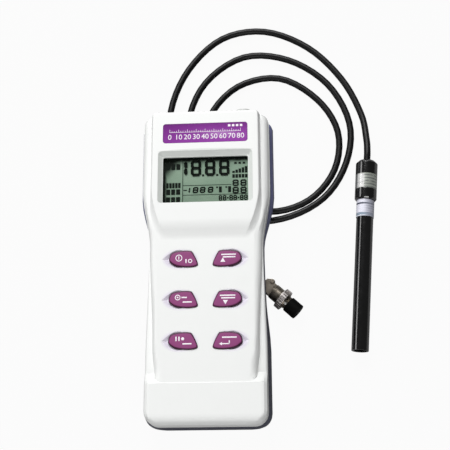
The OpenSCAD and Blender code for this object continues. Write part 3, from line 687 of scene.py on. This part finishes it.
# clear window: almost all light passes, a faint film keeps its gloss uneven
def lensMaterial(name):
    m, t, shader = startMaterial(name)
    film = noiseNode(t, objectCoord(t), 90.0, 2)
    t.links.new(rangeNode(t, film, 0.3, 0.7, 0.03, 0.10), shader.inputs["Roughness"])
    tint = mixColor(t, film, (0.02, 0.03, 0.025), (0.04, 0.05, 0.045))
    t.links.new(tint, shader.inputs["Base Color"])
    t.links.new(rangeNode(t, film, 0.0, 1.0, 0.02, 0.035), shader.inputs["Alpha"])
    return m


finishes["windowClear"] = lensMaterial("windowClear")


# printed cell jackets: dark sleeve with a metal-toned end band
def jacketMaterial(name, look):
    m, t, shader = startMaterial(name)
    y = splitXyz(t, objectCoord(t))["Y"]
    band = rangeNode(t, y, *look["bandY"])
    skinOn(t, shader, look, mixColor(t, band, look["sleeve"], look["band"]))
    return m


jacketLook = {"base": (0.30, 0.20, 0.06), "shade": (0.36, 0.25, 0.08), "grain": 1200.0,
              "rough": (0.26, 0.36), "bump": 0.1, "bandY": (-0.0495, -0.0490),
              "sleeve": (0.04, 0.04, 0.045), "band": (0.55, 0.33, 0.07)}
finishes["cellJacket"] = jacketMaterial("cellJacket", jacketLook)


# circuit board: green mask with paler copper tracks in zones
def boardMaterial(name, look):
    m, t, shader = startMaterial(name)
    coord = objectCoord(t)
    x = splitXyz(t, coord)["X"]
    wave = mathNode(t, "SINE", mathNode(t, "MULTIPLY", x, look["tracks"]))
    tracks = rangeNode(t, wave, 0.72, 0.86)
    zones = rangeNode(t, noiseNode(t, coord, 70.0, 1), 0.48, 0.52)
    mask = mathNode(t, "MULTIPLY", tracks, zones)
    skinOn(t, shader, look, mixColor(t, mask, look["base"], look["copper"]))
    return m


boardLook = {"base": (0.012, 0.10, 0.035), "shade": (0.02, 0.13, 0.05), "grain": 900.0,
             "rough": (0.3, 0.42), "bump": 0.2, "tracks": 2600.0, "copper": (0.05, 0.20, 0.08)}
finishes["boardGreen"] = boardMaterial("boardGreen", boardLook)

# contact rubber under the display: the same stripes, finer
stripesLook = {"base": (0.45, 0.30, 0.32), "shade": (0.35, 0.22, 0.24), "grain": 2000.0,
               "rough": (0.5, 0.6), "bump": 0.2, "tracks": 20000.0, "copper": (0.03, 0.03, 0.03)}
finishes["contactRubber"] = boardMaterial("contactRubber", stripesLook)
print("materials ready")

# every CAD node has a finish, also the ones inside; the copies below take it over
nodeFinish = {
    "front_housing": "caseWhite", "rear_housing": "caseNavy", "battery_door": "caseNavy",
    "housing_seal": "sealRubber", "housing_screws": "brightSteel", "display_lens": "windowClear",
    "display_cell": "displayCellGlass", "display_frame": "frameWhite",
    "contact_strips": "contactRubber", "main_board": "boardGreen", "board_parts": "chipBlack",
    "key_mat": "sealRubber", "name_strip": "stripInk", "battery_contacts": "brightSteel",
    "batteries": "cellJacket", "socket_shell": "shellPale", "socket_insert": "blackPlastic",
    "socket_nut": "brightSteel", "plug_body": "darkChrome", "coupling_ring": "ringNickel",
    "plug_insert": "blackPlastic", "plug_pins": "goldPlate", "plug_cap": "capBlack",
    "cord_clamp": "darkChrome", "clamp_screws": "darkChrome", "probe_head": "headBlack",
    "probe_grommet": "leadRubber", "probe_tube": "tubeBlack", "head_band": "headFoil",
    "tube_band": "tubePaper", "cell_core": "blackPlastic", "cell_electrodes": "graphite",
    "temperature_sensor": "brightSteel", "probe_cable": "leadRubber", "key_power": "keyRubber",
    "key_mode": "keyRubber", "key_cal": "keyRubber", "key_memory": "keyRubber",
    "key_hold": "keyRubber", "key_enter": "keyRubber"}
for nodeName, finish in nodeFinish.items():
    dress(nodes[nodeName], finish)
leadCurve.materials.append(finishes["leadRubber"])

# nodes whose form stays as built: merged, edges broken by a small bevel, smooth
carried = {
    "front_housing": {"angle": 28}, "rear_housing": {"angle": 30},
    "battery_door": {"bevel": 0.25, "body": "door"}, "housing_seal": {"angle": 40},
    "housing_screws": {"bevel": 0.12}, "display_lens": {"bevel": 0.10},
    "display_cell": {}, "display_frame": {"bevel": 0.15}, "contact_strips": {},
    "main_board": {"bevel": 0.10}, "board_parts": {"bevel": 0.12}, "key_mat": {"bevel": 0.15},
    "battery_contacts": {}, "batteries": {"bevel": 0.35}, "socket_shell": {"bevel": 0.2},
    "socket_insert": {}, "socket_nut": {"bevel": 0.2}, "plug_body": {"bevel": 0.15},
    "coupling_ring": {"bevel": 0.12, "body": "ring"}, "plug_insert": {},
    "plug_pins": {"bevel": 0.1}, "plug_cap": {"bevel": 0.45, "body": "cap"},
    "cord_clamp": {"bevel": 0.3},
    "clamp_screws": {"bevel": 0.12}, "probe_head": {"bevel": 0.3}, "probe_grommet": {"bevel": 0.2},
    "probe_tube": {"bevel": 0.3}, "head_band": {}, "tube_band": {"bevel": 0.05},
    "cell_core": {}, "cell_electrodes": {"bevel": 0.15}, "temperature_sensor": {"bevel": 0.2},
    "name_strip": {"bevel": 0.04}}


def pieceName(node):
    words = node.split("_")
    return words[0] + "".join(w.capitalize() for w in words[1:]) + "Form"


copies = {}
for nodeName, form in carried.items():
    flatten = 0.4 if nodeName.endswith("housing") else 0.05
    copies[nodeName] = smoothCopy(nodeName, pieceName(nodeName), form.get("body", "meter"),
                                  form.get("angle", 32), form.get("bevel", 0) * mm, flatten)
print("carried nodes done")

# soft fillets in the four corners of the display recess, drawn up along its sloping walls
recess = {"low": (35.78, 25.9, 14.75, 50.5), "high": (38.0, 28.45, 16.38, 51.9),
          "round": (0.5, 2.2), "arc": 8, "sunk": 0.02}


# low and high hold z, half width, half height and middle y of the recess
def cornerFillet(signX, signY):
    bm = bmesh.new()
    rows = []
    for (z, halfX, halfY, midY), r in zip((recess["low"], recess["high"]), recess["round"]):
        x, y = signX * halfX, midY + signY * halfY
        arc = [(x - signX * r * (1 - math.sin(a)), y - signY * r * (1 - math.cos(a)))
               for a in (math.pi / 2 * i / recess["arc"] for i in range(recess["arc"] + 1))]
        loop = [(x + signX * recess["sunk"], y + signY * recess["sunk"])] + arc
        rows.append([bm.verts.new((px * mm, py * mm, z * mm)) for px, py in loop])
    count = len(rows[0])
    for i in range(count):
        j = (i + 1) % count
        bm.faces.new((rows[0][i], rows[0][j], rows[1][j], rows[1][i]))
    bm.faces.new(rows[0])
    bm.faces.new(rows[1])
    bmesh.ops.recalc_face_normals(bm, faces=bm.faces[:])
    mesh = bpy.data.meshes.new("recessFillet")
    bm.to_mesh(mesh)
    bm.free()
    obj = bpy.data.objects.new("recessFillet", mesh)
    scene.collection.objects.link(obj)
    return obj


recessFillets = joinAll("recessFillets",
                        [cornerFillet(sx, sy) for sx in (-1, 1) for sy in (-1, 1)])
smoothBy(recessFillets, 30)
dress(recessFillets, "caseWhite")
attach(recessFillets, "meter")

# the set screw beyond the ring shines, the two on the cord clamp are as dark as the clamp
setScrew = {"along": 11.0, "reach": 3.0}
screwAt = Vector(onPlug(setScrew["along"])[:2]) * mm
screws = copies["clamp_screws"].data
screws.materials.append(finishes["screwBright"])
for p in screws.polygons:
    if (p.center.xy - screwAt).length < setScrew["reach"] * mm:
        p.material_index = 1

# keys: the moulded cap is cut level and closed again by a soft dome drawn from its outline
dome = {"cutZ": 35.75, "half": (8.4, 4.8), "sides": 120, "topZ": 36.24,
        "rings": [(0, 35.75), (0.04, 35.88), (0.16, 36.00), (0.36, 36.08), (0.7, 36.14),
                  (1.3, 36.185), (2.2, 36.215), (3.2, 36.235)]}


# even steps along a closed loop of points round the origin
def evenLoop(points, count):
    loop = sorted(points, key=lambda p: math.atan2(p.y, p.x))
    loop.append(loop[0])
    steps = [(q - p).length for p, q in zip(loop, loop[1:])]
    whole = sum(steps)
    out, i, run = [], 0, 0.0
    for k in range(count):
        goal = whole * k / count
        while run + steps[i] < goal:
            run += steps[i]
            i += 1
        out.append(loop[i].lerp(loop[i + 1], (goal - run) / max(steps[i], 1e-9)))
    return out


def domeKey(node, name, body, middle):
    obj = mergedCopy(node, name, body, 0.02)
    center = Vector(middle) * mm
    bm = bmesh.new()
    bm.from_mesh(obj.data)
    cut = bmesh.ops.bisect_plane(bm, geom=bm.verts[:] + bm.edges[:] + bm.faces[:],
                                 plane_co=(0, 0, dome["cutZ"] * mm), plane_no=(0, 0, 1),
                                 clear_outer=True)["geom_cut"]
    bmesh.ops.holes_fill(bm, edges=[e for e in cut if isinstance(e, bmesh.types.BMEdge)])
    outline = evenLoop([v.co.xy - center for v in cut if isinstance(v, bmesh.types.BMVert)],
                       dome["sides"])
    halfX, halfY = dome["half"]
    rings = []
    for inward, z in dome["rings"]:
        sx, sy = (halfX - inward) / halfX, (halfY - inward) / halfY
        rings.append([bm.verts.new((center.x + p.x * sx, center.y + p.y * sy, z * mm))
                      for p in outline])
    for low, high in zip(rings, rings[1:]):
        for i in range(len(low)):
            j = (i + 1) % len(low)
            bm.faces.new((low[i], low[j], high[j], high[i]))
    top = bm.verts.new((center.x, center.y, dome["topZ"] * mm))
    for i in range(len(rings[-1])):
        bm.faces.new((rings[-1][i], rings[-1][(i + 1) % len(rings[-1])], top))
    bm.to_mesh(obj.data)
    bm.free()
    smoothBy(obj, 42)
    dress(obj, "keyRubber")
    return obj


# raised marks on the keys and the strip: a bar, disc or ring between two heights
keyInk = (36.10, 36.30)
stripInk = (37.95, 38.05)


def putMark(obj, x, y, level, turn=0):
    obj.rotation_euler = (0, 0, math.radians(turn))
    obj.location = (x * mm, y * mm, (level[0] + level[1]) / 2 * mm)
    bakePlace(obj)
    return obj


def inkBar(x, y, w, h, turn=0, level=keyInk):
    dropSelection()
    bpy.ops.mesh.primitive_cube_add(size=1, location=(0, 0, 0))
    obj = bpy.context.object
    obj.scale = (w * mm, h * mm, (level[1] - level[0]) * mm)
    bakePlace(obj)
    addBevel(obj, min(w, h) * 0.18 * mm, 2, 60)
    return putMark(obj, x, y, level, turn)


def inkDisc(x, y, r, sides=20, turn=0, level=keyInk):
    dropSelection()
    bpy.ops.mesh.primitive_cylinder_add(vertices=sides, radius=r * mm,
                                        depth=(level[1] - level[0]) * mm)
    obj = bpy.context.object
    addBevel(obj, 0.03 * mm, 2, 60)
    return putMark(obj, x, y, level, turn)


def inkRing(x, y, r, stroke, level=keyInk):
    dropSelection()
    bpy.ops.mesh.primitive_torus_add(major_radius=r * mm, minor_radius=stroke / 2 * mm,
                                     major_segments=32, minor_segments=8)
    obj = bpy.context.object
    obj.scale = (1, 1, (level[1] - level[0]) / stroke)
    return putMark(obj, x, y, level)


# each mark: its maker, its offset from the key's middle, then the maker's own sizes
keyMarks = {
    "key_power": [(inkRing, -2.7, 0.5, 1.8, 0.55), (inkBar, -2.7, 0.5, 0.55, 2.0),
                  (inkBar, 1.5, -1.4, 0.7, 2.5), (inkRing, 3.9, -1.4, 0.98, 0.6)],
    "key_mode": [(inkDisc, -2.4, -1.5, 1.7, 3, 0), (inkBar, 1.0, 2.1, 8.6, 0.8),
                 (inkBar, 1.3, 0.6, 7.4, 0.8)],
    "key_cal": [(inkRing, -3.2, 1.1, 1.4, 0.55), (inkDisc, -3.2, 1.1, 0.5),
                (inkBar, 0.6, 1.1, 3.2, 0.8), (inkBar, 2.4, -1.6, 5.4, 0.8)],
    "key_memory": [(inkBar, 0.3, 1.9, 9.0, 0.8), (inkBar, 0.6, 0.4, 8.0, 0.8),
                   (inkDisc, -1.0, -1.7, 1.7, 3, 180)],
    "key_hold": [(inkBar, -3.9, 1.2, 0.8, 2.6), (inkBar, -2.2, 1.2, 0.8, 2.6),
                 (inkDisc, -0.1, 1.2, 0.9), (inkBar, 2.4, -1.7, 5.2, 0.8)],
    "key_enter": [(inkBar, 1.2, 1.7, 8.4, 0.8), (inkBar, -0.9, -2.0, 4.6, 0.65),
                  (inkBar, 1.1, -1.2, 0.65, 2.2), (inkDisc, -3.6, -2.0, 1.1, 3, 90)]}
keyField = {"gap": 25.4, "pitch": 24.2, "topY": 1.3}
keyPlan = {"key_power": (-1, 0), "key_mode": (1, 0), "key_cal": (-1, 1), "key_memory": (1, 1),
           "key_hold": (-1, 2), "key_enter": (1, 2)}
for node, (side, row) in keyPlan.items():
    body = node + "_body"
    stem = node.split("_")[1]
    x, y = side * keyField["gap"] / 2, keyField["topY"] - row * keyField["pitch"]
    domeKey(node, stem + "KeyCap", body, (x, y))
    signs = joinAll(stem + "KeyMark", [make(x + dx, y + dy, *sizes)
                                       for make, dx, dy, *sizes in keyMarks[node]])
    dress(signs, "whiteInk")
    smoothBy(signs, 40)
    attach(signs, body)
print("keys done")

# strip: a plain scale with figures in white ink
strip = {"midY": 79.5, "lower": 0.05, "left": -21.4, "figures": 9, "figureStep": 5.35,
         "figureSize": 4.6, "ticks": 33, "tickStep": 1.3375, "tall": (1.7, 0.9), "thin": 0.24,
         "baseLong": 43.2, "dots": 4, "dotLeft": 14.6, "dotStep": 2.4, "dotSize": (1.5, 1.4)}


# the strip's own top goes down a little, so the ink stands proud inside the same box
def lowerTop(obj, down):
    dropSelection()
    for p in obj.data.polygons:
        p.select = p.normal.z > 0.99
    top = {i for p in obj.data.polygons if p.select for i in p.vertices}
    for v in obj.data.vertices:
        v.select = v.index in top
    pick(obj)
    bpy.ops.object.mode_set(mode="EDIT")
    bpy.ops.transform.translate(value=(0, 0, -down * mm))
    endEdit()


lowerTop(copies["name_strip"], strip["lower"])


def figureText(label, size, x, y):
    dropSelection()
    bpy.ops.object.text_add(location=(0, 0, 0))
    obj = bpy.context.object
    obj.data.body = label
    obj.data.size = size * mm
    obj.data.extrude = (stripInk[1] - stripInk[0]) / 2 * mm
    obj.data.align_x = "CENTER"
    obj.data.align_y = "CENTER"
    obj.data.resolution_u = 3
    pick(obj)
    bpy.ops.object.convert(target="MESH")
    return putMark(bpy.context.object, x, y, stripInk)


artParts = [figureText(str(i * 10), strip["figureSize"], strip["left"] + strip["figureStep"] * i,
                       strip["midY"] - 2.6) for i in range(strip["figures"])]
for i in range(strip["ticks"]):
    tall = strip["tall"][0] if i % 4 == 0 else strip["tall"][1]
    artParts.append(inkBar(strip["left"] + strip["tickStep"] * i, strip["midY"] + 0.7 + tall / 2,
                           strip["thin"], tall, level=stripInk))
artParts.append(inkBar(0, strip["midY"] + 0.6, strip["baseLong"], strip["thin"], level=stripInk))
for i in range(strip["dots"]):
    artParts.append(inkBar(strip["dotLeft"] + strip["dotStep"] * i, strip["midY"] + 4.2,
                           *strip["dotSize"], level=stripInk))
stripMarks = joinAll("stripScale", artParts)
dress(stripMarks, "whiteInk")
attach(stripMarks, "meter")
print("strip scale done")

# display figures: bars with cut corners, stamped into digits
film = (32.80, 32.88)


def barStamp(w, h, cut):
    dropSelection()
    bpy.ops.mesh.primitive_cube_add(size=1, location=(0, 0, 0))
    obj = bpy.context.object
    obj.scale = (w * mm, h * mm, (film[1] - film[0]) * mm)
    bakePlace(obj)
    if cut:
        for v in obj.data.vertices:
            v.select = False
        for e in obj.data.edges:
            a, b = (obj.data.vertices[i].co for i in e.vertices)
            e.select = abs(a.z - b.z) > 0.00001
        bpy.ops.object.mode_set(mode="EDIT")
        bpy.ops.mesh.select_mode(type="EDGE")
        bpy.ops.mesh.bevel(offset=cut * mm, segments=1, affect="EDGES")
        endEdit()
    return obj


def stampAt(obj, x, y, turn=0):
    c = obj.copy()
    c.data = obj.data.copy()
    scene.collection.objects.link(c)
    c.matrix_world = Matrix.Translation((x * mm, y * mm, (film[0] + film[1]) / 2 * mm)) \
        @ Matrix.Rotation(math.radians(turn), 4, "Z")
    return c


def onWindow(u, v):
    return ((u - 0.5) * window["wide"], window["midY"] + (0.5 - v) * window["high"])


digitShapes = {"8": "abcdefg", "1": "bc"}


# u, v is the digit's middle; wide, tall and stroke in mm; lean in degrees
def stampDigit(out, kind, u, v, wide, tall, stroke, lean=0):
    x, y = onWindow(u, v)
    gap = stroke * 0.18
    flat = barStamp(max(wide - stroke - gap, stroke * 0.5), stroke, stroke * 0.24)
    post = barStamp(stroke, (tall - stroke) / 2 - gap, stroke * 0.38)
    side, step = (wide - stroke) / 2, (tall - stroke) / 2
    slope = math.tan(math.radians(lean))
    spots = {"a": (flat, 0, step, 0), "g": (flat, 0, 0, 0), "d": (flat, 0, -step, 0),
             "b": (post, side, step / 2, -lean), "c": (post, side, -step / 2, -lean),
             "f": (post, -side, step / 2, -lean), "e": (post, -side, -step / 2, -lean)}
    for letter in digitShapes[kind]:
        piece, dx, dy, turn = spots[letter]
        out.append(stampAt(piece, x + dx + slope * dy, y + dy, turn))
    for piece in (flat, post):
        bpy.data.objects.remove(piece)


def stampBar(out, u0, u1, v0, v1, cut=0):
    x0, y0 = onWindow(u0, v0)
    x1, y1 = onWindow(u1, v1)
    piece = barStamp(abs(x1 - x0), abs(y1 - y0), cut)
    out.append(stampAt(piece, (x0 + x1) / 2, (y0 + y1) / 2))
    bpy.data.objects.remove(piece)


# rows of digits: kind, wide, tall, stroke, lean, height v and the middles u
digitRows = [
    ("1", 2.3, 10.4, 2.1, 0, 0.22, (0.262,)),
    ("8", 6.3, 10.4, 1.7, 0, 0.22, (0.385, 0.552, 0.718)),
    ("1", 0.9, 3.8, 0.8, 8, 0.70, (0.307,)),
    ("8", 3.3, 3.8, 0.8, 8, 0.70, (0.380, 0.463, 0.556)),
    ("8", 3.7, 4.1, 0.85, 0, 0.565, (0.850, 0.942)),
    ("8", 3.7, 4.1, 0.85, 0, 0.725, (0.850, 0.942)),
    ("8", 2.1, 3.4, 0.62, 0, 0.885, (0.672, 0.720, 0.796, 0.844, 0.920, 0.968))]
# points, dashes and rules: u from and to, v from and to
barBoxes = [
    (0.455, 0.481, 0.36, 0.405), (0.622, 0.648, 0.36, 0.405), (0.238, 0.278, 0.69, 0.712),
    (0.748, 0.768, 0.87, 0.90), (0.872, 0.892, 0.87, 0.90), (0.2255, 0.2335, 0.03, 0.985),
    (0.2335, 0.80, 0.592, 0.603), (0.2335, 0.985, 0.800, 0.811)]
# flags down the left column: v from and to, count
flags = {"rows": ((0.12, 0.245, 3), (0.535, 0.645, 5), (0.675, 0.79, 3), (0.845, 0.955, 3)),
         "left": 0.035, "wide": 0.175, "part": 0.8}
figures = []
for kind, wide, tall, stroke, lean, v, middles in digitRows:
    for u in middles:
        stampDigit(figures, kind, u, v, wide, tall, stroke, lean)
for box in barBoxes:
    stampBar(figures, *box)
# plain level bars at the right of the large figures
for i in range(5):
    u = 0.812 + 0.037 * i
    stampBar(figures, u, u + 0.030, 0.30 - 0.024 * i, 0.345, 0.08)
    stampBar(figures, u, u + 0.030, 0.375, 0.455, 0.08)
for i in range(3):
    stampBar(figures, 0.835 + 0.05 * i, 0.866 + 0.05 * i, 0.105, 0.15)
for u in (0.622, 0.730):
    stampBar(figures, u, u + 0.022, 0.635, 0.668)
    stampBar(figures, u + 0.032, u + 0.066, 0.635, 0.765, 0.1)
for v0, v1, count in flags["rows"]:
    step = flags["wide"] / count
    for i in range(count):
        u = flags["left"] + step * i
        stampBar(figures, u, u + step * flags["part"], v0, v1, 0.2)
displayFigures = joinAll("displayFigures", figures)
bakePlace(displayFigures)
dress(displayFigures, "segmentInk")
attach(displayFigures, "meter")
print("display figures done")

# studio: floor, sky and lamps
studio = {"floor": (0.30, 0.30, 0.30), "sky": 0.06, "glow": 0.95}


def floorMaterial():
    m, t, shader = startMaterial("floorPaper")
    shader.inputs["Roughness"].default_value = 0.9
    noise = noiseNode(t, objectCoord(t), 60.0, 2)
    darker = tuple(v * 0.995 for v in studio["floor"])
    t.links.new(mixColor(t, noise, studio["floor"], darker), shader.inputs["Base Color"])
    glow = t.nodes.new("ShaderNodeEmission")
    glow.inputs["Strength"].default_value = 1.0
    path = t.nodes.new("ShaderNodeLightPath")
    seen = mathNode(t, "MAXIMUM", path.outputs["Is Camera Ray"],
                    path.outputs["Is Transmission Ray"])
    mix = t.nodes.new("ShaderNodeMixShader")
    t.links.new(mathNode(t, "MULTIPLY", seen, studio["glow"]), mix.inputs[0])
    t.links.new(shader.outputs[0], mix.inputs[1])
    t.links.new(glow.outputs[0], mix.inputs[2])
    t.links.new(mix.outputs[0], t.nodes["Material Output"].inputs["Surface"])
    return m


dropSelection()
bpy.ops.mesh.primitive_plane_add(size=1.0, location=(0, 0, 0))
floor = bpy.context.object
floor.name = "paperFloor"
floor.data.materials.append(floorMaterial())

world = bpy.data.worlds.new("studioSky")
world.use_nodes = True
scene.world = world
wt = world.node_tree
back = wt.nodes["Background"]
back.inputs["Color"].default_value = (1, 1, 1, 1)
path = wt.nodes.new("ShaderNodeLightPath")
seen = mathNode(wt, "MAXIMUM", path.outputs["Is Camera Ray"], path.outputs["Is Transmission Ray"])
wt.links.new(mathNode(wt, "MAXIMUM", studio["sky"], seen), back.inputs["Strength"])


def addLamp(name, place, aim, size, power):
    data = bpy.data.lights.new(name, "AREA")
    data.shape = "RECTANGLE"
    data.size, data.size_y = size
    data.energy = power
    lamp = bpy.data.objects.new(name, data)
    lamp.location = place
    lamp.rotation_euler = (Vector(aim) - Vector(place)).to_track_quat("-Z", "Y").to_euler()
    scene.collection.objects.link(lamp)


lamps = [("mainBox", (-0.25, 1.64, 1.48), (0.02, 0.03, 0.02), (1.2, 1.2), 54.0),
         ("leftStrip", (-0.80, 0.10, 0.46), (0.08, 0.0, 0.0), (0.9, 0.25), 2.0),
         ("footBox", (0.10, -1.20, 0.90), (0.0, -0.05, 0.0), (1.0, 1.0), 11.0)]
for lamp in lamps:
    addLamp(*lamp)
scene.view_settings.view_transform = "Standard"
print("studio set")
